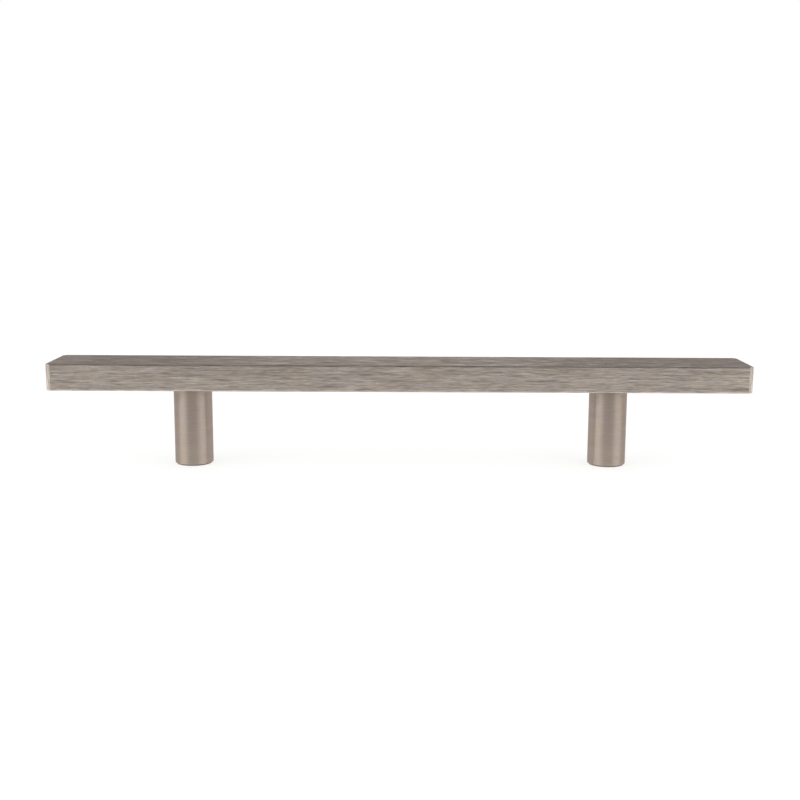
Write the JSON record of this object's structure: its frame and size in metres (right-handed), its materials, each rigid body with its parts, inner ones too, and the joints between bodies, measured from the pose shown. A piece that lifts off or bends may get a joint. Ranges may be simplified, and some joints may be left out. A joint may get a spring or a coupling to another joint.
{
  "type": "t bar cabinet pull",
  "caption": "Bar pull for a drawer or cabinet door: a flat rectangular brushed metal bar carried on round posts, screwed on from behind.",
  "frame": {"origin": "on the mounting plane, midway between the two mounting holes", "axes": "+X along the bar, +Y across the bar towards its back long side, +Z from the mounting plane out to the bar's outer face"},
  "size_m": [0.212, 0.022, 0.032],
  "materials": {
    "brushed_bar": "satin nickel, brushed along the bar",
    "brushed_post": "satin nickel, brushed round the post",
    "plain_steel": "plain zinc plated steel, as machined"
  },
  "bodies": {
    "root": {"grip_bar": "brushed_bar", "post_left": "brushed_post", "post_right": "brushed_post", "stud_left": "plain_steel", "stud_right": "plain_steel"}
  },
  "joints": []
}
